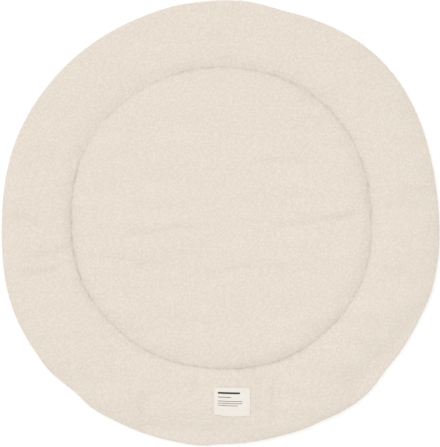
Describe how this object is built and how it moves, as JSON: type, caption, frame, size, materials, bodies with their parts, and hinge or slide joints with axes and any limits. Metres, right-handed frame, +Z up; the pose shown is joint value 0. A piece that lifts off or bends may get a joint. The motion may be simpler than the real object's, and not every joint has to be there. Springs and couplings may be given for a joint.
{
  "type": "round playpen mat",
  "caption": "Round padded playpen mat of nubbed cream cloth, with a quilted circle inside its rim and a plain sewn-on label.",
  "frame": {"origin": "on the floor, under the middle of the mat's box", "axes": "+Z up out of the mat, +X to the right and +Y away, looking down with the label nearest"},
  "size_m": [0.9352, 0.9508, 0.0261],
  "materials": {
    "nubbed_cream_cloth": "fine-nubbed cream cotton cloth, matt",
    "woven_label_cloth": "plain woven off-white cotton label, matt"
  },
  "bodies": {
    "root": {"padded_mat": "nubbed_cream_cloth", "sewn_label": "woven_label_cloth"}
  },
  "joints": []
}
